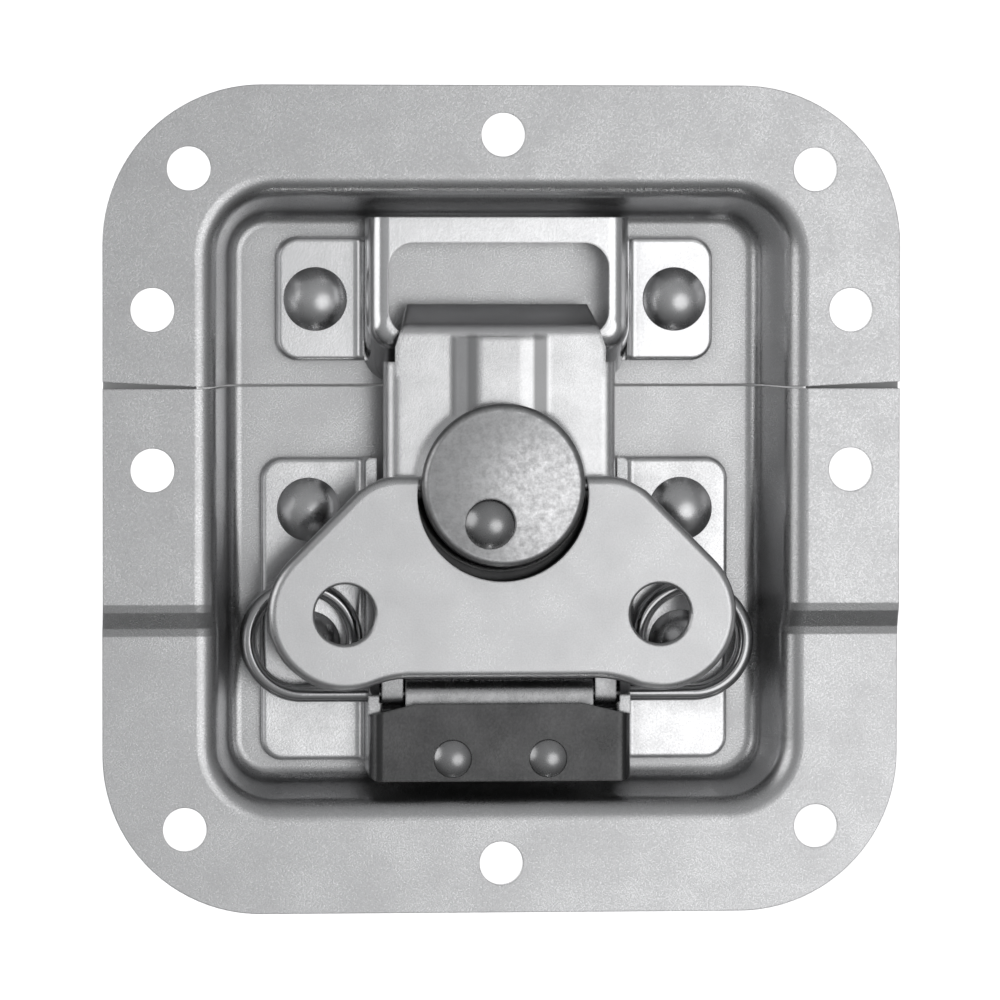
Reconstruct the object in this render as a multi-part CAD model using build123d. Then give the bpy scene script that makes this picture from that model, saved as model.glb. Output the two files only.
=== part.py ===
from build123d import *
from math import acos
from math import atan
from math import atan2
from math import cos
from math import degrees
from math import radians
from math import sin
from math import sqrt
from math import tan
import os

# Recessed butterfly latch, mm.
# +X runs to the right, +Y from the base towards the keeper, +Z out of the dish towards the hand.
# The origin is midway along and across the flange, level with the rivet tails.

# Tolerance for finding edges by place, overrun of a cut, and a length beyond every piece
near = 0.01
over = 1.0
reach = 200.0

# Dish
flange_width = 15.0
flange_length = 14.7
dish_corner_r = 21.5
dish_sheet = 1.2
dish_depth = 14.0
dish_bend = 2.0
floor_end_gap = 0.2
floor_corner_r = 5.5
wall_slope_run = 2.8
split_y = 15.2
split_gap = 0.25
split_relief = 0.7
crank_drop = 1.8
crank_top_y = -14.0
crank_bottom_y = -18.4
crank_steps = 5

# Fixing holes in the flange, from its outer edges
fixing_hole_r = 2.95
edge_to_hole = 6.7
edge_to_upper_corner_x = 11.6
edge_to_upper_corner_y = 11.3
edge_to_lower_corner_x = 11.1
edge_to_lower_corner_y = 11.5
side_hole_upper_y = 25.7
side_hole_lower_y = 4.1

# Clearances
rivet_clearance = 0.05
pin_clearance = 0.05
shaft_clearance = 0.05
running_gap = 0.3
thrust_gap = 0.2

# Rolled upper edge of the blanked feet
foot_edge_r = 0.7

# Rivets
rivet_head_r = 4.35
rivet_head_h = 1.9
rivet_shank_r = 2.0
rivet_tail_r = 3.2
rivet_tail_h = 1.2

# Keeper, riveted to the upper dish
keeper_sheet = 1.5
keeper_height = 8.0
keeper_side_wall = 3.0
keeper_shoulder_r = 3.0
keeper_corner_r = 3.6
keeper_foot_bend = 1.4
keeper_end_y = 38.2
keeper_apron_top_y = 21.0
keeper_apron_foot_y = 15.9
keeper_end_lift = 4.0
keeper_pad_round_rivet = 5.3
keeper_pad_low_y = 18.6
keeper_pad_high_y = 35.5
keeper_pad_corner_r = 3.0
keeper_hood_to_rivet = 6.6
keeper_rivet_y = 27.0
window_side_gap = 1.6
window_high_y = 34.7
window_corner_r = 3.4
window_gap = 0.9

# Hasp, the channel whose lip hooks the keeper
hasp_sheet = 1.4
hasp_cheek_gap = 0.6
hasp_flange_drop = 0.7
hasp_bend = 0.6
hasp_low_y = -16.0
hasp_flange_end_y = 18.6
neck_step = 1.5
neck_overlap = 2.0
neck_straight = 2.0
lip_bend_y = 23.2
lip_angle = 60.0
lip_length = 6.3
lip_root_step = 0.9
lip_tip_step = 1.5
lip_bend_r = 0.2
band_half_base = 6.8
band_half_top = 3.2
band_height = 0.7
band_round_r = 7.0
band_end_y = 22.0
boss_base_r = 11.8
boss_top_r = 9.4
boss_height = 1.0

# Drum and its eccentric
drum_y = 2.0
shaft_r = 4.0
throw = 3.0
cam_r = 4.8
cam_side_play = 0.2
slot_ease = 0.22
drum_height = 3.3
washer_r = 6.5
washer_thick = 1.0
shaft_head_r = 4.8
shaft_head_h = 0.8
cap_r = 11.1
cap_sheet = 0.9
cap_clearance = 0.2
cap_rim_h = 0.2
cap_edge_r = 1.1
cap_crown = 0.8
cap_seat_depth = 0.2
cap_seat_margin = 0.1
cap_rivet_dx = -1.9
cap_rivet_dy = -5.15
cap_rivet_head_r = 3.4
cap_rivet_head_h = 1.4
cap_rivet_shank_r = 1.3

# Butterfly wing
wing_sheet = 1.8
wing_over_pin = 1.4
wing_top_y = 3.2
wing_top_half_x = 17.6
wing_shoulder_r = 8.3
wing_bottom_y = -24.1
lobe_x = 21.4
lobe_y = -15.4
lobe_r = 10.4
lobe_hole_r = 4.1
wing_blend_r = 14.0
wing_edge_r = 1.1
wing_hole_edge = 0.3
cutout_r = 11.6
cutout_y = 0.6
lug_r = 1.2
pin_rise = 1.4
lug_length = 3.0
lug_gap = 0.5
wing_pin_r = 0.8
wing_pin_half = 14.2

# Base bracket, riveted to the lower dish
bracket_sheet = 1.5
bracket_bend = 0.4
bracket_foot_bend = 1.2
cheek_half_x = 17.9
bridge_rise = 10.8
bridge_front_y = -27.7
bridge_back_y = -38.3
bridge_corner_x = 11.3
bridge_corner_cut = 1.6
bridge_corner_r = 1.4
cheek_low_rise = 4.8
cheek_mid_rise = 6.4
cheek_mid_y = -20.0
base_pad_round_rivet = 6.5
base_pad_high_y = 5.4
base_pad_low_y = -36.0
base_pad_corner_r = 3.0
coil_to_rivet = 1.2
base_rivet_upper_y = -1.7
base_rivet_lower_y = -19.9

# Hinge leaf under the bridge, and the plate that swings on it
hinge_y = -26.6
leaf_sheet = 1.8
leaf_half_x = 12.8
leaf_back_y = -37.5
leaf_edge_to_rivet = 6.3
leaf_rivet_y = -35.2
leaf_rivet_head_r = 2.6
leaf_rivet_head_h = 0.9
leaf_rivet_shank_r = 1.3
leaf_rivet_tail_r = 2.0
leaf_rivet_tail_h = 0.8
plate_sheet = 1.2
plate_hasp_gap = 0.4
knuckle_cheek_gap = 0.4
plate_high_y = 12.0
plate_wide_high_y = -17.0
plate_corner_r = 2.5

# Springs, whose inner legs are the hinge pins
wire_r = 1.1
coil_mean_r = 7.25
coil_cheek_gap = 0.45
coil_wall_gap = 1.15
coil_pitch = 2.3
coil_half_turns = 3
spring_leg_end_x = 2.0

# Places that follow from the sizes above
coil_outer_r = coil_mean_r + wire_r
coil_x = cheek_half_x + coil_cheek_gap + coil_outer_r
base_rivet_x = coil_x - coil_to_rivet
base_pad_half_x = base_rivet_x + base_pad_round_rivet
plate_knuckle_half_x = cheek_half_x - bracket_sheet - knuckle_cheek_gap
leaf_rivet_x = leaf_half_x - leaf_edge_to_rivet
hasp_half_x = cheek_half_x - bracket_sheet - hasp_cheek_gap
plate_half_x = hasp_half_x - hasp_sheet - plate_hasp_gap
neck_half_x = hasp_half_x - neck_step
lip_root_half_x = neck_half_x - lip_root_step
lip_tip_half_x = lip_root_half_x - lip_tip_step
window_half_x = lip_root_half_x + window_side_gap
keeper_half_x = window_half_x + keeper_side_wall
keeper_rivet_x = keeper_half_x + keeper_hood_to_rivet
keeper_pad_half_x = keeper_rivet_x + keeper_pad_round_rivet
floor_half_x = coil_x + coil_outer_r + coil_wall_gap
floor_half_y = max(keeper_end_y, -bridge_back_y) + floor_end_gap
dish_width = 2 * (floor_half_x + wall_slope_run + flange_width)
dish_length = 2 * (floor_half_y + wall_slope_run + flange_length)
side_hole_x = dish_width / 2 - edge_to_hole
centre_hole_y = dish_length / 2 - edge_to_hole
upper_corner_hole_x = dish_width / 2 - edge_to_upper_corner_x
upper_corner_hole_y = dish_length / 2 - edge_to_upper_corner_y
lower_corner_hole_x = dish_width / 2 - edge_to_lower_corner_x
lower_corner_hole_y = edge_to_lower_corner_y - dish_length / 2

# Levels that follow from the sizes above
floor_back = rivet_tail_h
floor_top = floor_back + dish_sheet
flange_top = floor_top + dish_depth
keeper_top = floor_top + keeper_height
bridge_top = floor_top + bridge_rise
bridge_under = bridge_top - bracket_sheet
knuckle_bore_r = wire_r + pin_clearance
hinge_z = bridge_under - knuckle_bore_r - leaf_sheet
plate_top = hinge_z + knuckle_bore_r + plate_sheet
plate_under = plate_top - plate_sheet
hasp_under = plate_top + running_gap
hasp_top = hasp_under + hasp_sheet
boss_top = hasp_top + boss_height
drum_under = boss_top + running_gap
drum_top = drum_under + drum_height
drum_r = cap_r - cap_sheet - cap_clearance
pin_z = drum_under + pin_rise
wing_top = pin_z + wing_over_pin
wing_under = wing_top - wing_sheet
cam_under = plate_top + thrust_gap
washer_top = plate_under - thrust_gap
washer_under = washer_top - washer_thick
cap_edge_top = drum_top + cap_sheet
cap_under = cap_edge_top - cap_edge_r - cap_rim_h
wall_draft = degrees(atan(wall_slope_run / dish_depth))
wall_run = dish_sheet / cos(radians(wall_draft))
lip_turn = radians(lip_angle)
lip_inner_y = lip_bend_y + (hasp_top - keeper_top) / tan(lip_turn) - hasp_sheet / sin(lip_turn)
window_low_y = lip_inner_y - window_gap
slot_half_length = cam_r + throw + cam_side_play
slot_half_width = cam_r + slot_ease * throw + cam_side_play


def disc(radius, z_low, z_high, x=0.0, y=0.0):
    """Upright cylinder between two levels."""
    return Pos(x, y, z_low) * extrude(Circle(radius), z_high - z_low)


def block(x_low, x_high, y_low, y_high, z_low, z_high):
    """Box between its lowest and highest corner."""
    size = (x_high - x_low, y_high - y_low, z_high - z_low)
    middle = ((x_low + x_high) / 2, (y_low + y_high) / 2, (z_low + z_high) / 2)
    return Pos(*middle) * Box(*size)


def side_prism(points, x_low, x_high):
    """Outline drawn in Y and Z, run along X."""
    face = make_face(Polyline(*[(0, y, z) for y, z in points], close=True))
    return Pos(x_low, 0, 0) * extrude(face, x_high - x_low, dir=(1, 0, 0))


def plan_prism(points, z_low, z_high):
    """Outline drawn in X and Y, run along Z."""
    face = make_face(Polyline(*[(x, y) for x, y in points], close=True))
    return Pos(0, 0, z_low) * extrude(face, z_high - z_low, dir=(0, 0, 1))


def cross_bar(radius, x_low, x_high, y, z):
    """Cylinder along X."""
    start = Plane((x_low, y, z), x_dir=(0, 1, 0), z_dir=(1, 0, 0))
    return start * extrude(Circle(radius), x_high - x_low)


def domed_head(radius, height, z_low):
    """Low spherical rivet head standing on a level."""
    ball_r = (radius * radius + height * height) / (2 * height)
    ball = Pos(0, 0, z_low + height - ball_r) * Sphere(ball_r)
    return ball & disc(radius, z_low, z_low + height)


def rivet(x, y, seat, grip, head_r, head_h, shank_r, tail_r, tail_h):
    """Domed rivet through a grip of sheet, with a flat upset tail."""
    head = domed_head(head_r, head_h, seat)
    shank = disc(shank_r, seat - grip, seat)
    tail = disc(tail_r, seat - grip - tail_h, seat - grip)
    return Pos(x, y, 0) * (head + shank + tail)


def dish_plan(z_low, z_high):
    """Prism of the outer outline of both flanges."""
    face = RectangleRounded(dish_width, dish_length, dish_corner_r)
    return Pos(0, 0, z_low) * extrude(face, z_high - z_low)


def mouth_edges(solid, level):
    """Edges where the drawn wall meets the flange."""
    found = solid.edges().filter_by_position(Axis.Z, level - near, level + near)
    inner_x = floor_half_x + wall_slope_run + wall_run + over
    inner_y = floor_half_y + wall_slope_run + wall_run + over
    return [e for e in found if abs(e.center().X) < inner_x and abs(e.center().Y) < inner_y]


def tapered_box(z_low, z_high, margin):
    """Rounded box that widens upwards with the wall's slope."""
    grown = margin + (z_low - floor_top) * tan(radians(wall_draft))
    width = 2 * (floor_half_x + grown)
    length = 2 * (floor_half_y + grown)
    face = RectangleRounded(width, length, floor_corner_r + grown)
    return Pos(0, 0, z_low) * extrude(face, z_high - z_low, taper=-wall_draft)


def drawn_dish(flange_level):
    """Whole drawn dish with its flange at one level."""
    outside = tapered_box(floor_back, flange_level - dish_sheet / 2, wall_run)
    outside = fillet(outside.faces().sort_by(Axis.Z)[0].edges(), dish_bend + dish_sheet)
    solid = dish_plan(flange_level - dish_sheet, flange_level) + outside
    solid = fillet(mouth_edges(solid, flange_level - dish_sheet), dish_bend)
    inside = tapered_box(floor_top, flange_level + over, 0.0)
    inside = fillet(inside.faces().sort_by(Axis.Z)[0].edges(), dish_bend)
    solid = solid - inside
    return fillet(mouth_edges(solid, flange_level), dish_bend + dish_sheet)


def dish_section(y, flange_level):
    """Section of the dish across X, with its four bends, at one place along Y."""
    slope = tan(radians(wall_draft))
    mouth = floor_half_x + (flange_level - floor_top) * slope
    mouth_back = floor_half_x + (flange_level - dish_sheet - floor_top) * slope + wall_run
    floor_out = floor_half_x - dish_sheet * slope + wall_run
    right = [
        (dish_width, flange_level - dish_sheet),
        (dish_width, flange_level),
        (mouth, flange_level),
        (floor_half_x, floor_top),
    ]
    left = [(-x, z) for x, z in reversed(right)]
    back = [(-mouth_back, flange_level - dish_sheet), (-floor_out, floor_back)]
    back = back + [(-x, z) for x, z in reversed(back)]
    points = right + left + back
    face = make_face(Plane.XZ * Polyline(*points, close=True))
    sharp = [(mouth, flange_level, dish_bend + dish_sheet), (floor_half_x, floor_top, dish_bend)]
    sharp = sharp + [(mouth_back, flange_level - dish_sheet, dish_bend)]
    sharp = sharp + [(floor_out, floor_back, dish_bend + dish_sheet)]
    for x, z, radius in sharp:
        corners = [v for v in face.vertices() if abs(abs(v.X) - x) < near and abs(v.Z - z) < near]
        face = fillet(corners, radius)
    return Pos(0, y, 0) * face


def crank_level(share):
    """Level of the flange part of the way down the crank, as a soft double bend."""
    return flange_top - crank_drop * share * share * (3 - 2 * share)


def fixing_holes(places):
    """Round holes through a flange."""
    return [disc(fixing_hole_r, floor_top, flange_top + over, x, y) for x, y in places]


def rivet_holes(x, rows, shank_r, z_low, z_high):
    """Holes for rows of rivets on both sides."""
    hole_r = shank_r + rivet_clearance
    return [disc(hole_r, z_low, z_high, side * x, y) for y in rows for side in (-1, 1)]


def upper_dish():
    """Half of the dish that stays on the lid."""
    low = split_y + split_gap / 2
    half = drawn_dish(flange_top) & block(-reach, reach, low, reach, -over, reach)
    edge = dish_width / 2
    mouth = floor_half_x + wall_slope_run + dish_bend
    for side in (-1, 1):
        wedge = [
            (side * mouth, low - over),
            (side * mouth, low),
            (side * (edge + over), low + split_relief),
            (side * (edge + over), low - over),
        ]
        half = half - plan_prism(wedge, floor_top, flange_top + over)
    places = [(0, centre_hole_y)]
    for side in (-1, 1):
        places.append((side * upper_corner_hole_x, upper_corner_hole_y))
        places.append((side * side_hole_x, side_hole_upper_y))
    half = half - fixing_holes(places)
    return half - rivet_holes(keeper_rivet_x, [keeper_rivet_y], rivet_shank_r, 0, floor_top + over)


def lower_dish():
    """Half of the dish that stays on the case, with its cranked flanges."""
    high = split_y - split_gap / 2
    straight = extrude(dish_section(high, flange_top), high - crank_top_y, dir=(0, -1, 0))
    run = (crank_top_y - crank_bottom_y) / (crank_steps - 1)
    solid = straight
    levels = [crank_level(step / (crank_steps - 1)) for step in range(crank_steps)]
    for step in range(crank_steps - 1):
        here = dish_section(crank_top_y - step * run, levels[step])
        there = dish_section(crank_top_y - (step + 1) * run, levels[step + 1])
        solid = solid + loft([here, there], ruled=True)
    tail = drawn_dish(flange_top - crank_drop)
    tail = tail & block(-reach, reach, -reach, crank_bottom_y, -over, reach)
    solid = (solid & dish_plan(-over, reach)) + tail
    places = [(0, -centre_hole_y)]
    for side in (-1, 1):
        places.append((side * lower_corner_hole_x, lower_corner_hole_y))
        places.append((side * side_hole_x, side_hole_lower_y))
    solid = solid - fixing_holes(places)
    rows = [base_rivet_upper_y, base_rivet_lower_y]
    return solid - rivet_holes(base_rivet_x, rows, rivet_shank_r, 0, floor_top + over)


def pad(x_low, x_high, y_low, y_high, thick, corner_r):
    """Flat foot on the dish floor, rounded at its outer corners."""
    foot = block(x_low, x_high, y_low, y_high, floor_top, floor_top + thick)
    corners = [e for e in foot.edges().filter_by(Axis.Z) if abs(e.center().X - x_high) < near]
    return fillet(corners, corner_r)


def rolled(solid, level, x_inside, x_high):
    """Solid with the upper outline of its feet rolled over."""
    upper = [e for e in solid.edges() if abs(e.center().Z - level) < near]
    upper = [e for e in upper if abs(e.center().X) > x_inside + near]
    seams = [e for e in upper if abs(e.center().X) < x_high - near and abs(e.tangent_at(0.5).Y) > 0.99]
    return fillet([e for e in upper if e not in seams], foot_edge_r)


def bend_filler(x, z, radius, y_low, y_high):
    """What a sharp corner between a foot and a wall has beyond a bend."""
    square = block(x, x + radius, y_low, y_high, z, z + radius)
    middle = Plane((x + radius, y_low, z + radius), z_dir=(0, 1, 0))
    return square - middle * extrude(Circle(radius), y_high - y_low)


def keeper_hood(inset):
    """Outside of the keeper's hood, or its hollow when set in by the sheet."""
    top = keeper_top - inset
    lean = atan((keeper_apron_top_y - keeper_apron_foot_y) / keeper_height)
    shift = inset / cos(lean)
    foot_y = keeper_apron_foot_y + shift
    top_y = keeper_apron_top_y + shift - inset * tan(lean)
    end_y = keeper_end_y - inset
    points = [(foot_y, floor_top), (top_y, top), (end_y, top), (end_y, floor_top)]
    hood = side_prism(points, -keeper_half_x + inset, keeper_half_x - inset)
    front = [e for e in hood.edges() if abs(e.center().X) > 1 and e.center().Y < top_y]
    hood = fillet(front, keeper_corner_r - inset)
    rim = [e for e in hood.edges().group_by(Axis.Z)[-1] if e.center().Y < end_y - near]
    return fillet(rim, keeper_shoulder_r - inset)


def keeper():
    """Raised hood with a window for the lip, and a foot each side."""
    hood = keeper_hood(0.0) - keeper_hood(keeper_sheet)
    hood = hood - block(-reach, reach, keeper_pad_high_y, reach, 0, floor_top + keeper_end_lift)
    window = RectangleRounded(2 * window_half_x, window_high_y - window_low_y, window_corner_r)
    window_y = (window_high_y + window_low_y) / 2
    solid = hood - Pos(0, window_y, keeper_top - keeper_sheet - over) * extrude(window, reach)
    foot = pad(
        keeper_half_x - keeper_sheet,
        keeper_pad_half_x,
        keeper_pad_low_y,
        keeper_pad_high_y,
        keeper_sheet,
        keeper_pad_corner_r,
    )
    span = (keeper_pad_low_y, keeper_pad_high_y)
    foot = foot + bend_filler(keeper_half_x, floor_top + keeper_sheet, keeper_foot_bend, *span)
    foot = rolled(foot, floor_top + keeper_sheet, keeper_half_x, keeper_pad_half_x)
    inner = keeper_half_x - keeper_sheet
    under = bend_filler(inner, floor_top, keeper_foot_bend + keeper_sheet, *span)
    solid = solid + foot + mirror(foot, Plane.YZ) - under - mirror(under, Plane.YZ)
    return solid - rivet_holes(keeper_rivet_x, [keeper_rivet_y], rivet_shank_r, 0, keeper_top)


def bracket_strip():
    """Strip bent into a foot, a cheek, the bridge, a cheek and a foot."""
    inner = cheek_half_x - bracket_sheet
    top = floor_top + bracket_sheet
    right = [
        (base_pad_half_x, floor_top),
        (base_pad_half_x, top),
        (cheek_half_x, top),
        (cheek_half_x, bridge_top),
    ]
    left = [(-x, z) for x, z in reversed(right)]
    under = [(-inner, floor_top), (-inner, bridge_under), (inner, bridge_under), (inner, floor_top)]
    face = make_face(Plane.XZ * Polyline(*(right + left + under), close=True))
    bends = [
        (cheek_half_x, top, bracket_foot_bend),
        (inner, floor_top, bracket_foot_bend + bracket_sheet),
        (cheek_half_x, bridge_top, bracket_bend + bracket_sheet),
        (inner, bridge_under, bracket_bend),
    ]
    for x, z, radius in bends:
        corners = [v for v in face.vertices() if abs(abs(v.X) - x) < near and abs(v.Z - z) < near]
        face = fillet(corners, radius)
    return Pos(0, base_pad_high_y, 0) * extrude(face, base_pad_high_y - bridge_back_y, dir=(0, -1, 0))


def back_corner(side):
    """What is rounded off the bridge's back corner."""
    x = side * (cheek_half_x - bridge_corner_r)
    y = bridge_back_y + bridge_corner_r
    ends_x = sorted((x, side * (cheek_half_x + over)))
    square = block(*ends_x, bridge_back_y - over, y, floor_top + bracket_sheet, bridge_top + over)
    return square - disc(bridge_corner_r, 0, reach, x, y)


def base_bracket():
    """Bracket on the lower dish that carries the hinge under its bridge."""
    solid = bracket_strip()
    above = [
        (base_pad_high_y + over, floor_top + cheek_low_rise),
        (cheek_mid_y, floor_top + cheek_mid_rise),
        (bridge_front_y, bridge_top),
        (bridge_front_y, bridge_top + over),
        (base_pad_high_y + over, bridge_top + over),
    ]
    solid = solid - side_prism(above, -reach, reach)
    behind = [
        (bridge_back_y - over, 0),
        (base_pad_low_y, 0),
        (base_pad_low_y, floor_top + bracket_sheet + bracket_foot_bend),
        (bridge_back_y, floor_top + cheek_mid_rise),
        (bridge_back_y - over, floor_top + cheek_mid_rise),
    ]
    solid = solid - side_prism(behind, -reach, reach)
    inner = cheek_half_x - bracket_sheet
    solid = solid - block(-inner, inner, bridge_front_y, reach, floor_top, reach)
    for side in (-1, 1):
        corner = [
            (side * bridge_corner_x, bridge_front_y + over),
            (side * bridge_corner_x, bridge_front_y),
            (side * cheek_half_x, bridge_front_y - bridge_corner_cut),
            (side * cheek_half_x, bridge_front_y + over),
        ]
        solid = solid - plan_prism(corner, bridge_under, bridge_top + over) - back_corner(side)
    upright = solid.edges().filter_by(Axis.Z)
    solid = fillet([e for e in upright if abs(e.center().X) > base_pad_half_x - near], base_pad_corner_r)
    solid = rolled(solid, floor_top + bracket_sheet, cheek_half_x, base_pad_half_x)
    solid = solid - cross_bar(knuckle_bore_r, -reach, reach, hinge_y, hinge_z)
    rows = [base_rivet_upper_y, base_rivet_lower_y]
    solid = solid - rivet_holes(base_rivet_x, rows, rivet_shank_r, 0, bridge_top)
    return solid - rivet_holes(leaf_rivet_x, [leaf_rivet_y], leaf_rivet_shank_r, 0, bridge_top + over)


def knuckle(outer_r, x_low, x_high):
    """Rolled eye round the hinge line, with its bore."""
    eye = cross_bar(outer_r, x_low, x_high, hinge_y, hinge_z)
    return eye - cross_bar(knuckle_bore_r, x_low - over, x_high + over, hinge_y, hinge_z)


def hinge_leaf():
    """Fixed leaf under the bridge, rolled into the middle knuckle."""
    leaf_under = bridge_under - leaf_sheet
    flat = block(-leaf_half_x, leaf_half_x, leaf_back_y, hinge_y, leaf_under, bridge_under)
    ends = [e for e in flat.edges().filter_by(Axis.Z) if e.center().Y < leaf_back_y + near]
    flat = fillet(ends, plate_corner_r)
    solid = flat + knuckle(knuckle_bore_r + leaf_sheet, -leaf_half_x, leaf_half_x)
    return solid - rivet_holes(leaf_rivet_x, [leaf_rivet_y], leaf_rivet_shank_r, 0, bridge_top)


def swing_plate():
    """Plate behind the hasp that turns on the hinge and carries the drum."""
    wide_x = plate_knuckle_half_x
    slim_x = plate_half_x
    wide = block(-wide_x, wide_x, hinge_y, plate_wide_high_y, plate_under, plate_top)
    slim = block(-slim_x, slim_x, plate_wide_high_y, plate_high_y, plate_under, plate_top)
    ends = [e for e in slim.edges().filter_by(Axis.Z) if e.center().Y > plate_high_y - near]
    slim = fillet(ends, plate_corner_r)
    gap_x = leaf_half_x + running_gap
    gap_y = hinge_y + knuckle_bore_r + leaf_sheet + running_gap
    solid = wide + slim - block(-gap_x, gap_x, hinge_y - over, gap_y, 0, reach)
    for side in (-1, 1):
        ends_x = sorted((side * gap_x, side * wide_x))
        solid = solid + knuckle(knuckle_bore_r + plate_sheet, *ends_x)
    return solid - disc(shaft_r + shaft_clearance, 0, reach, 0, drum_y)


def half_turn(y_from, y_to, z_from, z_to):
    """Half a turn of the coil, from its near side to its far side or back, falling as it goes."""
    ring = Plane((coil_x, y_from, z_from), z_dir=(1, 0, 0)) * Circle(wire_r)
    middle = (coil_x, (y_from + y_to) / 2, (z_from + z_to) / 2)
    lean = z_from - z_to if y_to > y_from else z_to - z_from
    return revolve(ring, Axis(middle, (0, lean, abs(y_to - y_from))), 180)


def spring(side):
    """Coil round the lower rivet, its leg running in as half of the hinge pin."""
    wire = cross_bar(wire_r, spring_leg_end_x, coil_x, hinge_y, hinge_z)
    sides = [hinge_y, hinge_y + 2 * coil_mean_r]
    level = hinge_z
    for turn in range(coil_half_turns):
        wire = wire + half_turn(*sides, level, level - coil_pitch / 2)
        level = level - coil_pitch / 2
        sides.reverse()
    if side < 0:
        wire = mirror(wire, Plane.YZ)
    return wire


def raised_form(level):
    """Band and round boss that are pressed up out of the hasp, as one tool."""
    section = [
        (-band_half_base, level),
        (-band_half_top, level + band_height),
        (band_half_top, level + band_height),
        (band_half_base, level),
    ]
    face = make_face(Plane.XZ * Polyline(*section, close=True))
    face = fillet(face.vertices().group_by(Axis.Z)[-1], band_round_r)
    band = Pos(0, band_end_y, 0) * extrude(face, band_end_y - drum_y, dir=(0, -1, 0))
    low = Pos(0, drum_y, level) * Circle(boss_base_r)
    high = Pos(0, drum_y, level + boss_height) * Circle(boss_top_r)
    return band + loft([low, high])


def hasp_channel():
    """Length of the hasp with its sides bent down."""
    low = hasp_under - hasp_flange_drop
    inner = hasp_half_x - hasp_sheet
    half = [(hasp_half_x, low), (hasp_half_x, hasp_top)]
    points = half + [(-x, z) for x, z in reversed(half)]
    points = points + [(-inner, low), (-inner, hasp_under), (inner, hasp_under), (inner, low)]
    face = make_face(Plane.XZ * Polyline(*points, close=True))
    bends = [(hasp_half_x, hasp_top, hasp_bend + hasp_sheet), (inner, hasp_under, hasp_bend)]
    for x, z, radius in bends:
        corners = [v for v in face.vertices() if abs(abs(v.X) - x) < near and abs(v.Z - z) < near]
        face = fillet(corners, radius)
    length = hasp_flange_end_y - hasp_low_y
    return Pos(0, hasp_flange_end_y, 0) * extrude(face, length, dir=(0, -1, 0))


def hasp_lip():
    """Neck past the channel, bent down into the lip."""
    run = lip_length * cos(lip_turn)
    drop = lip_length * sin(lip_turn)
    back_y = hasp_sheet * sin(lip_turn)
    back_z = hasp_sheet * cos(lip_turn)
    bend_back_y = lip_bend_y - hasp_sheet * tan(lip_turn / 2)
    points = [
        (hasp_flange_end_y - neck_overlap, hasp_top),
        (lip_bend_y, hasp_top),
        (lip_bend_y + run, hasp_top - drop),
        (lip_bend_y + run - back_y, hasp_top - drop - back_z),
        (bend_back_y, hasp_under),
        (hasp_flange_end_y - neck_overlap, hasp_under),
    ]
    face = make_face(Polyline(*[(0, y, z) for y, z in points], close=True))
    outer = [v for v in face.vertices() if abs(v.Y - lip_bend_y) < near]
    face = fillet(outer, lip_bend_r + hasp_sheet)
    inner = [v for v in face.vertices() if abs(v.Y - bend_back_y) < near]
    face = fillet(inner, lip_bend_r)
    strip = Pos(-neck_half_x, 0, 0) * extrude(face, 2 * neck_half_x, dir=(1, 0, 0))
    half = [
        (neck_half_x, hasp_low_y),
        (neck_half_x, hasp_flange_end_y + neck_straight),
        (lip_root_half_x, lip_bend_y),
        (lip_tip_half_x, lip_bend_y + run + over),
    ]
    return strip & plan_prism(half + [(-x, y) for x, y in reversed(half)], 0, reach)


def hasp():
    """Channel with the lip at its end and the cam slot in its boss."""
    solid = hasp_channel() + hasp_lip() + raised_form(hasp_top)
    solid = solid - raised_form(hasp_under)
    slot = SlotCenterToCenter(2 * (slot_half_length - slot_half_width), 2 * slot_half_width)
    return solid - Pos(0, drum_y - throw, 0) * extrude(slot, reach)


def drum():
    """Shaft, eccentric and head of the drum, turned from one bar."""
    foot = disc(shaft_head_r, washer_under - shaft_head_h, washer_under, 0, drum_y)
    shaft = disc(shaft_r, washer_under, cam_under, 0, drum_y)
    cam = disc(cam_r, cam_under, drum_under, 0, drum_y - throw)
    head = disc(drum_r, drum_under, drum_top, 0, drum_y)
    solid = foot + shaft + cam + head
    solid = solid - cross_bar(wing_pin_r + pin_clearance, -reach, reach, drum_y, pin_z)
    return solid - cap_rivet_hole()


def cap_rivet_hole():
    """Hole for the rivet that holds the cap and the drum together."""
    x = cap_rivet_dx
    y = drum_y + cap_rivet_dy
    return disc(cap_rivet_shank_r + rivet_clearance, cam_under - over, reach, x, y)


def drum_washer():
    """Plain washer between the swing plate and the shaft's upset end."""
    ring = disc(washer_r, washer_under, washer_top, 0, drum_y)
    return ring - disc(shaft_r + shaft_clearance, 0, reach, 0, drum_y)


def dome_z(radius, crown_top, span, rise):
    """Height of a shallow dome at one radius."""
    ball_r = (span * span + rise * rise) / (2 * rise)
    return crown_top - (ball_r - sqrt(ball_r * ball_r - radius * radius))


def cap_seat_z():
    """Level of the small flat under the cap rivet's head."""
    crown_top = cap_edge_top + cap_crown
    offset = sqrt(cap_rivet_dx * cap_rivet_dx + cap_rivet_dy * cap_rivet_dy)
    return dome_z(offset, crown_top, cap_r - cap_edge_r, cap_crown) - cap_seat_depth


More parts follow.
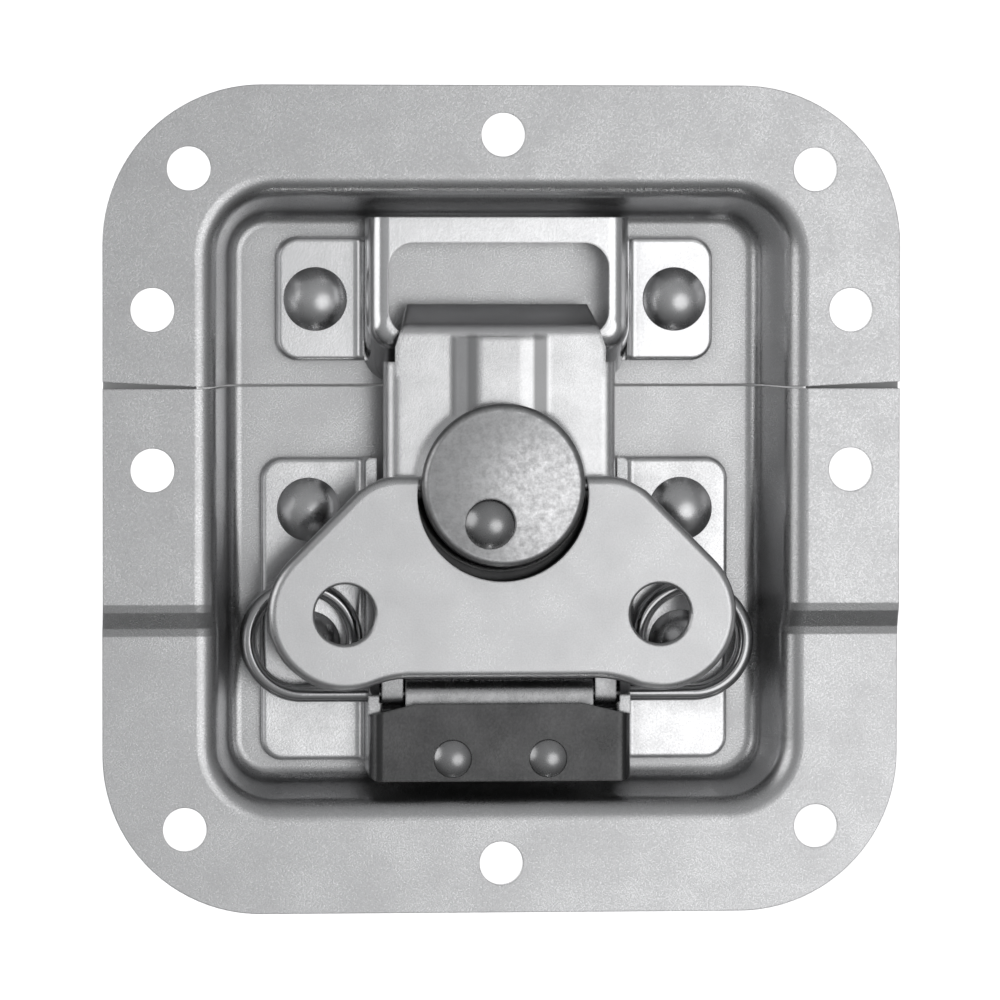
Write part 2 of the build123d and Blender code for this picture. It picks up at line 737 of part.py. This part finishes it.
def drum_cap():
    """Domed pressing over the drum, with a rounded rim."""
    rim_top = cap_under + cap_rim_h
    shoulder = cap_r - cap_edge_r
    edge_top = cap_edge_top
    crown_top = edge_top + cap_crown
    inside_r = cap_r - cap_sheet
    inside_top = crown_top - cap_sheet
    diagonal = cap_edge_r * (1 - sqrt(0.5))
    outline = [
        Line((inside_r, cap_under), (cap_r, cap_under)),
        Line((cap_r, cap_under), (cap_r, rim_top)),
        ThreePointArc((cap_r, rim_top), (cap_r - diagonal, edge_top - diagonal), (shoulder, edge_top)),
        ThreePointArc(
            (shoulder, edge_top),
            (shoulder / 2, dome_z(shoulder / 2, crown_top, shoulder, cap_crown)),
            (0, crown_top),
        ),
        Line((0, crown_top), (0, inside_top)),
        ThreePointArc(
            (0, inside_top),
            (inside_r / 2, dome_z(inside_r / 2, inside_top, inside_r, cap_crown)),
            (inside_r, inside_top - cap_crown),
        ),
        Line((inside_r, inside_top - cap_crown), (inside_r, cap_under)),
    ]
    face = make_face(Plane.XZ * Curve(outline))
    solid = Pos(0, drum_y, 0) * revolve(face, Axis.Z)
    seat_r = cap_rivet_head_r + cap_seat_margin
    seat = disc(seat_r, cap_seat_z(), reach, cap_rivet_dx, drum_y + cap_rivet_dy)
    return solid - seat - cap_rivet_hole()


def cap_rivet():
    """Bright domed rivet, off the middle of the cap."""
    seat = cap_seat_z()
    head = domed_head(cap_rivet_head_r, cap_rivet_head_h, seat)
    shank = disc(cap_rivet_shank_r, cam_under, seat)
    return Pos(cap_rivet_dx, drum_y + cap_rivet_dy, 0) * (head + shank)


def wing_pin():
    """Pin across the drum that the wing folds on."""
    return cross_bar(wing_pin_r, -wing_pin_half, wing_pin_half, drum_y, pin_z)


def shoulder_touch():
    """Point where the wing's sloping shoulder touches the right lobe."""
    across = wing_top_half_x - lobe_x
    up = wing_top_y - lobe_y
    turn = atan2(up, across) - acos(lobe_r / sqrt(across * across + up * up))
    return (lobe_x + lobe_r * cos(turn), lobe_y + lobe_r * sin(turn))


def wing_outline():
    """Plan of the wing: two lobes, a straight foot and sloping shoulders."""
    blend_y = wing_bottom_y - wing_blend_r
    rise = lobe_y - blend_y
    span = lobe_r + wing_blend_r
    blend_x = lobe_x - sqrt(span * span - rise * rise)
    right = [
        (wing_top_half_x, wing_top_y),
        shoulder_touch(),
        (lobe_x, lobe_y),
        (blend_x, wing_bottom_y),
    ]
    face = make_face(Polyline(*(right + [(-x, y) for x, y in reversed(right)]), close=True))
    web = make_face(Polyline((blend_x, wing_bottom_y), (blend_x, blend_y), (lobe_x, lobe_y), close=True))
    lobe = web - Pos(blend_x, blend_y) * Circle(wing_blend_r) + Pos(lobe_x, lobe_y) * Circle(lobe_r)
    face = face + lobe + mirror(lobe, Plane.YZ)
    return fillet(face.vertices().group_by(Axis.Y)[-1], wing_shoulder_r)


def wing():
    """Butterfly handle: a pressed plate that folds flat over the hasp."""
    plate = Pos(0, 0, wing_under) * extrude(wing_outline(), wing_sheet, dir=(0, 0, 1))
    plate = fillet(plate.edges().group_by(Axis.Z)[-1], wing_edge_r)
    plate = plate - disc(cutout_r, 0, reach, 0, cutout_y)
    plate = plate - [disc(lobe_hole_r, 0, reach, side * lobe_x, lobe_y) for side in (-1, 1)]
    circles = plate.edges().filter_by(GeomType.CIRCLE).group_by(Axis.Z)[-1]
    plate = chamfer([e for e in circles if abs(e.radius - lobe_hole_r) < near], wing_hole_edge)
    inner = cap_r + lug_gap
    lug = cross_bar(lug_r, inner, inner + lug_length, drum_y, pin_z)
    lug = lug & block(-reach, reach, -reach, reach, 0, wing_top - wing_edge_r)
    plate = plate + lug + mirror(lug, Plane.YZ)
    return plate - cross_bar(wing_pin_r + pin_clearance, -reach, reach, drum_y, pin_z)


def save(shape, name):
    """Write one piece as its own file."""
    export_step(shape, f"parts/{name}.step")


os.makedirs("parts", exist_ok=True)

save(upper_dish(), "upper_dish")
save(lower_dish(), "lower_dish")
save(keeper(), "keeper")
save(base_bracket(), "base_bracket")
save(hinge_leaf(), "hinge_leaf")
save(swing_plate(), "swing_plate")
save(hasp(), "hasp")
save(drum(), "drum")
save(drum_washer(), "drum_washer")
save(drum_cap(), "drum_cap")
save(cap_rivet(), "cap_rivet")
save(wing_pin(), "wing_pin")
save(wing(), "wing")

big_rivet = (rivet_head_r, rivet_head_h, rivet_shank_r, rivet_tail_r, rivet_tail_h)
keeper_grip = (floor_top + keeper_sheet, keeper_sheet + dish_sheet)
bracket_grip = (floor_top + bracket_sheet, bracket_sheet + dish_sheet)
leaf_grip = (bridge_top, bracket_sheet + leaf_sheet)
leaf_head = (leaf_rivet_head_r, leaf_rivet_head_h)
leaf_rivet = (*leaf_head, leaf_rivet_shank_r, leaf_rivet_tail_r, leaf_rivet_tail_h)
for side, hand in ((-1, "left"), (1, "right")):
    keeper_x = side * keeper_rivet_x
    base_x = side * base_rivet_x
    leaf_x = side * leaf_rivet_x
    save(rivet(keeper_x, keeper_rivet_y, *keeper_grip, *big_rivet), f"keeper_rivet_{hand}")
    save(rivet(base_x, base_rivet_upper_y, *bracket_grip, *big_rivet), f"upper_rivet_{hand}")
    save(rivet(base_x, base_rivet_lower_y, *bracket_grip, *big_rivet), f"lower_rivet_{hand}")
    save(rivet(leaf_x, leaf_rivet_y, *leaf_grip, *leaf_rivet), f"leaf_rivet_{hand}")
    save(spring(side), f"spring_{hand}")
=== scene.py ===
from math import radians

import bpy
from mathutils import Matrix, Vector

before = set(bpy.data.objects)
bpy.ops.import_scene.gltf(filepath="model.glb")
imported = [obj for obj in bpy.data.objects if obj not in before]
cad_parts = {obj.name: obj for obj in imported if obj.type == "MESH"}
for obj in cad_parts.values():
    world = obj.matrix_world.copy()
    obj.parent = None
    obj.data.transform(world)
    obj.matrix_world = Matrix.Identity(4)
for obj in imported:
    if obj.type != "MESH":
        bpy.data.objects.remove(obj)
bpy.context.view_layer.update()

# Butterfly latch, seen nearly straight on, on a pale floor. Metres.

# Camera, worked out from the photograph's flange holes, rivets and bridge corners
camera_place = (-0.0889, 0.0409, 1.016)
camera_turn_deg = (-2.338, -5.057, 0.067)
camera_lens_mm = 267.8
camera_sensor_mm = 36.0
camera_sees_to = 10.0

# Studio: lamps as name, place, size and watts
softboxes = (
    ("main_softbox", (0.44, -0.14, 1.12), 0.85, 2.0),
    ("window_softbox", (-0.95, 0.22, 0.48), 0.80, 1.8),
    ("kicker_softbox", (0.05, -0.95, 0.22), 0.10, 0.12),
)
room_color = (0.98, 0.99, 1.0, 1.0)
room_low = 0.05
room_high = 0.40
room_right = 0.05
room_back = 0.11
room_least = 0.03
floor_half = 3.0
floor_color = (0.93, 0.93, 0.93, 1.0)
floor_glow = 0.8
floor_glow_color = (1.0, 1.0, 1.0, 1.0)
matt_roughness = 0.9

# Painted shadow: strip of the floor, under the split of the bowl, that doesn't glow
strip_middle_y = 0.0149
strip_reach_y = 0.0009
strip_soft_y = 0.0002
strip_middle_x = 0.0013
strip_reach_x = 0.0420
strip_soft_x = 0.0005

# Grey cards close under the split of the flange, left and right, as painted shade
card_inner_x = 0.0413
card_outer_x = 0.0539
card_low_y = 0.0146
card_high_y = 0.0164
card_z = 0.01515
card_tone = 0.66

# Zinc plate: a span gives the values where an effect starts and where it is full
mottle_detail = 4.0
mottle_roughness = 0.6
mottle_span = (0.35, 0.65)
grain_detail = 3.0
grain_roughness = 0.7
grain_span = (0.34, 0.66)
grain_to_roughness = 0.16
grain_bump = 0.35
grain_depth = 0.00003
scratch_size = 1500.0
scratch_detail = 2.0
scratch_roughness = 0.6
scratch_span = (0.66, 0.78)
scratch_stretch = (0.30, 1.0, 1.0)
scratch_turn_deg = 33
# Worn edges, lightened as a painted highlight
edge_samples = 3
edge_span = (0.995, 0.90)
edge_wear_highlight = (0.22, 0.22, 0.22, 1.0)
# Crevices darkened as painted shade
crevice_samples = 2
crevice_span = (0.75, 0.15)
crevice_shade_color = (0.05, 0.05, 0.05, 1.0)
zinc_coolness = 1.01

# Painted shade and painted light, which match darker and lighter places of the photograph, each with its tone
# and dark tone
bridge_none_z = 0.0112
bridge_full_z = 0.0128
bridge_shade_tones = (0.10, 0.05)
cap_middle_y = 0.002
cap_ring_soft = 0.0006
cap_rim_near = 0.0102
cap_rim_far = 0.0130
cap_rim_shade_tones = (0.36, 0.22)
cap_arc_near = 0.0100
cap_arc_far = 0.0150
cap_arc_none_y = 0.0010
cap_arc_full_y = 0.0
cap_shadow_tones = (0.05, 0.03)
lip_none_y = 0.0234
lip_full_y = 0.0240
lip_light_tones = (0.98, 0.92)

# Painted shade on the bends of the hasp's raised band: place, reach to either side, tone
band_middle_y = 0.0168
band_reach_y = 0.0058
band_soft_y = 0.0006
band_soft_x = 0.0005
band_bend_shades = (
    (0.0054, 0.0012, 0.26),
    (-0.0065, 0.0006, 0.50),
    (-0.0039, 0.0009, 0.46),
)

# Inputs of the shared finish, with the values of a finish that doesn't give its own
finish_inputs = (
    ("Tone", "NodeSocketColor", (0.7, 0.7, 0.7, 1.0)),
    ("Dark tone", "NodeSocketColor", (0.5, 0.5, 0.5, 1.0)),
    ("Roughness", "NodeSocketFloat", 0.3),
    ("Mottle size", "NodeSocketFloat", 120.0),
    ("Mottle", "NodeSocketFloat", 0.3),
    ("Grain size", "NodeSocketFloat", 3500.0),
    ("Grain", "NodeSocketFloat", 0.3),
    ("Scratches", "NodeSocketFloat", 0.2),
    ("Edge radius", "NodeSocketFloat", 0.0002),
    ("Crevice", "NodeSocketFloat", 0.7),
    ("Crevice reach", "NodeSocketFloat", 0.0035),
)
finish_outputs = (
    ("Color", "NodeSocketColor"),
    ("Rough", "NodeSocketFloat"),
    ("Normal", "NodeSocketVector"),
)


def feed(tree, socket, value):
    """Links a socket to an output, or sets it to a plain value."""
    if isinstance(value, bpy.types.NodeSocket):
        tree.links.new(value, socket)
    else:
        socket.default_value = value


def feed_node(tree, node, **values):
    """Feeds a node's inputs by name, with _ for a blank."""
    for name, value in values.items():
        feed(tree, node.inputs[name.replace("_", " ")], value)
    return node


def add_node(tree, kind, **values):
    """Adds a node and feeds its inputs."""
    return feed_node(tree, tree.nodes.new(kind), **values)


def calculated(tree, operation, *values):
    """A number worked out from outputs and plain numbers."""
    node = tree.nodes.new("ShaderNodeMath")
    node.operation = operation
    for socket, value in zip(node.inputs, values):
        feed(tree, socket, value)
    return node.outputs["Value"]


def graded(tree, value, start, end, low=0.0, high=1.0):
    """Low where a value is at its start, high where it is at its end, and even between them."""
    node = add_node(
        tree, "ShaderNodeMapRange", Value=value, From_Min=start, From_Max=end, To_Min=low, To_Max=high,
    )
    return node.outputs["Result"]


def mixed(tree, share, first, second, blend="MIX"):
    """Two colours, mixed by the share of the second."""
    node = tree.nodes.new("ShaderNodeMix")
    node.data_type = "RGBA"
    node.blend_type = blend
    feed_node(tree, node, Factor=share, A=first, B=second)
    return node.outputs["Result"]


def measured(tree, operation, *vectors):
    """A number worked out from vectors."""
    node = tree.nodes.new("ShaderNodeVectorMath")
    node.operation = operation
    for socket, vector in zip(node.inputs, vectors):
        feed(tree, socket, vector)
    return node.outputs["Value"]


def object_place(tree):
    """The place on the object, in its own coordinates."""
    return tree.nodes.new("ShaderNodeTexCoord").outputs["Object"]


def object_axis(tree, axis):
    """One of the object's own coordinates."""
    return add_node(tree, "ShaderNodeSeparateXYZ", Vector=object_place(tree)).outputs[axis]


def noise(tree, place, size, detail, roughness):
    """Cloudy noise."""
    node = add_node(
        tree, "ShaderNodeTexNoise", Vector=place, Scale=size, Detail=detail, Roughness=roughness,
    )
    return node.outputs["Fac"]


def plated_surface():
    """Node group: zinc plate with mottling, grain, light scratches, worn edges lightened as a painted
    highlight, and crevices darkened as painted shade.
    """
    group = bpy.data.node_groups.new("plated_surface", "ShaderNodeTree")
    for name, kind, value in finish_inputs:
        socket = group.interface.new_socket(name=name, in_out="INPUT", socket_type=kind)
        socket.default_value = value
    for name, kind in finish_outputs:
        group.interface.new_socket(name=name, in_out="OUTPUT", socket_type=kind)
    given = group.nodes.new("NodeGroupInput").outputs
    result = group.nodes.new("NodeGroupOutput")
    place = object_place(group)

    mottle = noise(group, place, given["Mottle size"], mottle_detail, mottle_roughness)
    mottle = graded(group, mottle, *mottle_span)
    grain = noise(group, place, given["Grain size"], grain_detail, grain_roughness)
    grain = graded(group, grain, *grain_span)
    drawn_out = add_node(
        group, "ShaderNodeMapping", Vector=place, Scale=scratch_stretch,
        Rotation=(0.0, 0.0, radians(scratch_turn_deg)),
    )
    scratch = noise(group, drawn_out.outputs["Vector"], scratch_size, scratch_detail, scratch_roughness)
    scratch = graded(group, scratch, *scratch_span)

    bevel = add_node(group, "ShaderNodeBevel", Radius=given["Edge radius"])
    bevel.samples = edge_samples
    rounded = bevel.outputs["Normal"]
    flat = group.nodes.new("ShaderNodeNewGeometry").outputs["Normal"]
    worn_highlit_edge = graded(group, measured(group, "DOT_PRODUCT", rounded, flat), *edge_span)
    open_air = add_node(group, "ShaderNodeAmbientOcclusion", Distance=given["Crevice reach"])
    open_air.samples = crevice_samples
    hidden = graded(group, open_air.outputs["AO"], *crevice_span)

    shade = calculated(group, "MULTIPLY", mottle, given["Mottle"])
    shade = calculated(group, "MULTIPLY_ADD", grain, given["Grain"], shade)
    pitted = calculated(group, "MULTIPLY_ADD", scratch, given["Scratches"], shade)
    tone = mixed(group, pitted, given["Tone"], given["Dark tone"])
    # Worn edges lightened with a painted highlight
    tone = mixed(group, worn_highlit_edge, tone, edge_wear_highlight, "SCREEN")
    # Painted shade in crevices, from the ambient occlusion
    crevice_shade = calculated(group, "MULTIPLY", hidden, given["Crevice"])
    height = calculated(group, "MULTIPLY", grain, given["Grain"])
    bump = add_node(
        group, "ShaderNodeBump", Strength=grain_bump, Distance=grain_depth, Height=height, Normal=rounded,
    )
    feed_node(
        group, result,
        Color=mixed(group, crevice_shade, tone, crevice_shade_color),
        Rough=calculated(group, "MULTIPLY_ADD", shade, grain_to_roughness, given["Roughness"]),
        Normal=bump.outputs["Normal"],
    )
    return group


def grey(value):
    """Neutral zinc colour, a little cool."""
    return (value, value, value * zinc_coolness, 1.0)


def plated(name, tone, dark_tone, roughness, **values):
    """Metal finish that takes its detail from the shared group."""
    finish = bpy.data.materials.new(name)
    finish.use_nodes = True
    tree = finish.node_tree
    detail = tree.nodes.new("ShaderNodeGroup")
    detail.node_tree = shared_finish
    feed_node(tree, detail, Tone=grey(tone), Dark_tone=grey(dark_tone), Roughness=roughness, **values)
    feed_node(
        tree, tree.nodes["Principled BSDF"], Metallic=1.0, Base_Color=detail.outputs["Color"],
        Roughness=detail.outputs["Rough"], Normal=detail.outputs["Normal"],
    )
    return finish


def dress(names, finish):
    """Gives CAD nodes a finish."""
    for name in names:
        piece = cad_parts[name]
        piece.data.materials.clear()
        piece.data.materials.append(finish)


def within(tree, value, middle, reach, soft):
    """1 within a reach of a middle and 0 outside it, with a soft edge."""
    away = calculated(tree, "ABSOLUTE", calculated(tree, "SUBTRACT", value, middle))
    return graded(tree, away, reach, reach - soft)


def cap_ring(tree, near, far):
    """1 in a ring about the middle of the cap, seen from above."""
    centred = add_node(
        tree, "ShaderNodeMapping", Vector=object_place(tree), Location=(0, -cap_middle_y, 0), Scale=(1, 1, 0),
    )
    away = measured(tree, "LENGTH", centred.outputs["Vector"])
    return within(tree, away, (near + far) / 2, (far - near) / 2, cap_ring_soft)


def both(tree, first, second):
    """1 where two masks are."""
    return calculated(tree, "MULTIPLY", first, second)


def paint(finish, mask, tone, dark_tone):
    """Gives a finish other tones where a mask is."""
    tree = finish.node_tree
    detail = next(node for node in tree.nodes if node.type == "GROUP")
    for name, shade in (("Tone", tone), ("Dark tone", dark_tone)):
        socket = detail.inputs[name]
        present = socket.links[0].from_socket if socket.is_linked else socket.default_value
        feed(tree, socket, mixed(tree, mask, present, grey(shade)))


shared_finish = plated_surface()
dish_zinc = plated(
    "satin_zinc", tone=0.72, dark_tone=0.46, roughness=0.24,
    Mottle=0.18, Grain=0.55, Grain_size=4600.0, Scratches=0.03, Edge_radius=0.00025,
)
bright_zinc = plated(
    "bright_zinc", tone=0.86, dark_tone=0.64, roughness=0.15,
    Mottle=0.25, Grain=0.20, Grain_size=3400.0, Scratches=0.04, Edge_radius=0.0003,
)
hinge_zinc = plated(
    "hinge_zinc", tone=0.50, dark_tone=0.30, roughness=0.22,
    Mottle=0.35, Mottle_size=500.0, Grain=0.20, Grain_size=3400.0, Scratches=0.04, Edge_radius=0.0003,
)
hasp_zinc = plated(
    "hasp_zinc", tone=0.74, dark_tone=0.54, roughness=0.17,
    Mottle=0.30, Grain=0.22, Grain_size=4200.0, Scratches=0.04, Edge_radius=0.0009,
    Crevice=0.10, Crevice_reach=0.004,
)
wing_zinc = plated(
    "wing_zinc", tone=0.71, dark_tone=0.50, roughness=0.26,
    Mottle=0.18, Grain=0.34, Grain_size=4200.0, Scratches=0.04, Edge_radius=0.0003,
)
cap_zinc = plated(
    "tumbled_zinc", tone=0.73, dark_tone=0.38, roughness=0.27,
    Mottle=0.42, Mottle_size=900.0, Grain=0.34, Grain_size=2600.0, Scratches=0.04, Edge_radius=0.0002,
)
rivet_plate = plated(
    "glossy_plate", tone=0.68, dark_tone=0.48, roughness=0.25,
    Mottle=0.30, Mottle_size=500.0, Grain=0.14, Scratches=0.05, Edge_radius=0.0002,
)
small_rivet_plate = plated(
    "small_rivet_plate", tone=0.44, dark_tone=0.30, roughness=0.24,
    Mottle=0.30, Mottle_size=700.0, Grain=0.14, Scratches=0.05, Edge_radius=0.0002,
)
spring_wire = plated(
    "spring_wire", tone=0.58, dark_tone=0.40, roughness=0.13,
    Mottle=0.2, Grain=0.15, Scratches=0.05, Edge_radius=0.0001,
)
bracket_zinc = plated(
    "bracket_zinc", tone=0.89, dark_tone=0.54, roughness=0.17,
    Mottle=0.35, Grain=0.34, Grain_size=3600.0, Scratches=0.06, Edge_radius=0.0003,
)

# Painted shade: dark top of the bridge, which stands higher than the feet
bracket_tree = bracket_zinc.node_tree
bridge_painted_shade = graded(bracket_tree, object_axis(bracket_tree, "Z"), bridge_none_z, bridge_full_z)
paint(bracket_zinc, bridge_painted_shade, *bridge_shade_tones)

# Painted shade: darker rim of the cap
paint(cap_zinc, cap_ring(cap_zinc.node_tree, cap_rim_near, cap_rim_far), *cap_rim_shade_tones)

# Painted shadow: dark arc on the hasp beside the cap's lower edge
hasp_tree = hasp_zinc.node_tree
below_cap = graded(hasp_tree, object_axis(hasp_tree, "Y"), cap_arc_none_y, cap_arc_full_y)
paint(hasp_zinc, both(hasp_tree, cap_ring(hasp_tree, cap_arc_near, cap_arc_far), below_cap), *cap_shadow_tones)

# Painted light: lighter hooked lip
lip = graded(hasp_tree, object_axis(hasp_tree, "Y"), lip_none_y, lip_full_y)
paint(hasp_zinc, lip, *lip_light_tones)

# Painted shade: darker bends of the hasp's raised band, between the cap and the lip
for bend_x, bend_reach, bend_shade_tone in band_bend_shades:
    along = within(hasp_tree, object_axis(hasp_tree, "Y"), band_middle_y, band_reach_y, band_soft_y)
    across = within(hasp_tree, object_axis(hasp_tree, "X"), bend_x, bend_reach, band_soft_x)
    paint(hasp_zinc, both(hasp_tree, along, across), bend_shade_tone, bend_shade_tone)

small_rivets = ["leaf_rivet_left", "leaf_rivet_right", "cap_rivet"]
big_rivets = [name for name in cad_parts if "rivet" in name and name not in small_rivets]
dress(["upper_dish", "lower_dish"], dish_zinc)
dress(["keeper", "drum", "drum_washer"], bright_zinc)
dress(["hinge_leaf", "swing_plate"], hinge_zinc)
dress(["base_bracket"], bracket_zinc)
dress(["hasp"], hasp_zinc)
dress(["wing"], wing_zinc)
dress(["drum_cap"], cap_zinc)
dress(big_rivets, rivet_plate)
dress(small_rivets + ["wing_pin"], small_rivet_plate)
dress(["spring_left", "spring_right"], spring_wire)


def flat_plane(name, size, place):
    """Plane added on its own, with nothing else selected."""
    bpy.ops.object.select_all(action="DESELECT")
    bpy.ops.mesh.primitive_plane_add(size=size, location=place)
    plane = bpy.context.object
    plane.name = name
    return plane


def studio_floor():
    """Pale floor that glows a little, as a light table does, but not under the split of the bowl, which stays
    dark as a painted shadow.
    """
    finish = bpy.data.materials.new("studio_floor")
    finish.use_nodes = True
    tree = finish.node_tree
    along = within(tree, object_axis(tree, "Y"), strip_middle_y, strip_reach_y, strip_soft_y)
    across = within(tree, object_axis(tree, "X"), strip_middle_x, strip_reach_x, strip_soft_x)
    glow = graded(tree, both(tree, along, across), 0.0, 1.0, floor_glow, 0.0)
    feed_node(
        tree, tree.nodes["Principled BSDF"], Base_Color=floor_color, Roughness=matt_roughness,
        Emission_Color=floor_glow_color, Emission_Strength=glow,
    )
    floor = flat_plane("studio_floor", 2 * floor_half, (0, 0, 0))
    floor.data.materials.append(finish)


def split_shade_cards():
    """Grey cards, a painted shade that keeps the floor from shining up through the two ends of the split."""
    finish = bpy.data.materials.new("split_shade_paper")
    finish.use_nodes = True
    tree = finish.node_tree
    feed_node(
        tree, tree.nodes["Principled BSDF"], Base_Color=grey(card_tone), Roughness=matt_roughness,
    )
    for side in (-1, 1):
        middle = (side * (card_inner_x + card_outer_x) / 2, (card_low_y + card_high_y) / 2, card_z)
        card = flat_plane("split_shade_card", 1, middle)
        card.scale = (card_outer_x - card_inner_x, card_high_y - card_low_y, 1)
        card.data.materials.append(finish)


def softbox(name, place, size, power):
    """Round area light that faces the latch."""
    lamp = bpy.data.lights.new(name, "AREA")
    lamp.shape = "DISK"
    lamp.size = size
    lamp.energy = power
    holder = bpy.data.objects.new(name, lamp)
    holder.location = place
    holder.rotation_euler = (-Vector(place)).to_track_quat("-Z", "Y").to_euler()
    bpy.context.collection.objects.link(holder)


def studio_room():
    """Plain grey surroundings, lighter overhead and a little lighter at the back and right."""
    room = bpy.data.worlds.new("studio_room")
    room.use_nodes = True
    tree = room.node_tree
    way = tree.nodes.new("ShaderNodeTexCoord").outputs["Generated"]
    apart = add_node(tree, "ShaderNodeSeparateXYZ", Vector=way).outputs
    light = graded(tree, apart["Z"], 0.0, 1.0, room_low, room_high)
    light = calculated(tree, "MULTIPLY_ADD", apart["X"], room_right, light)
    light = calculated(tree, "MULTIPLY_ADD", apart["Y"], room_back, light)
    light = calculated(tree, "MAXIMUM", light, room_least)
    feed_node(tree, tree.nodes["Background"], Color=room_color, Strength=light)
    bpy.context.scene.world = room


def photo_camera():
    """Camera at the photograph's viewing angle."""
    camera = bpy.data.cameras.new("photo_camera")
    camera.sensor_width = camera_sensor_mm
    camera.lens = camera_lens_mm
    camera.clip_end = camera_sees_to
    holder = bpy.data.objects.new("photo_camera", camera)
    holder.location = camera_place
    holder.rotation_euler = [radians(turn) for turn in camera_turn_deg]
    bpy.context.collection.objects.link(holder)
    bpy.context.scene.camera = holder


bpy.context.scene.view_settings.view_transform = "Standard"
studio_floor()
split_shade_cards()
studio_room()
for lamp_values in softboxes:
    softbox(*lamp_values)
photo_camera()
